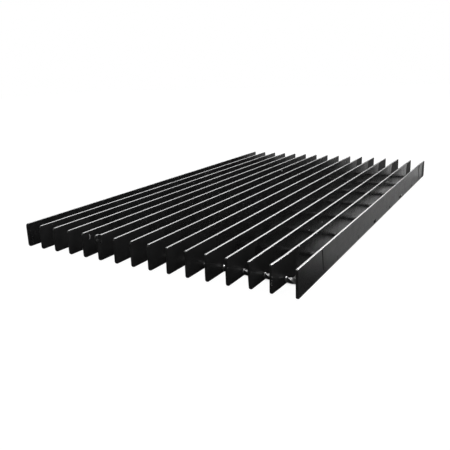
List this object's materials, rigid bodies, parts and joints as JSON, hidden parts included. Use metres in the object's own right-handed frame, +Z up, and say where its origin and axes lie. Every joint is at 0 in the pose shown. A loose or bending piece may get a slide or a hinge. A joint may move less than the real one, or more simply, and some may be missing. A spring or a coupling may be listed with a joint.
{
  "type": "steel grating panel",
  "caption": "Flat panel of parallel steel bearing bars on edge, joined near one edge by twisted square cross rods.",
  "frame": {"origin": "centre of the panel's footprint, on the surface that it lies on", "axes": "+X across the bearing bars, +Y along the bearing bars, +Z up; the cross rods are at the lower edges of the bars"},
  "size_m": [0.4556, 0.8128, 0.0381],
  "materials": {
    "black_paint": "gloss black dip paint on steel, with runs, thin edges and dust"
  },
  "bodies": {
    "root": {"grating_panel": "black_paint"}
  },
  "joints": []
}
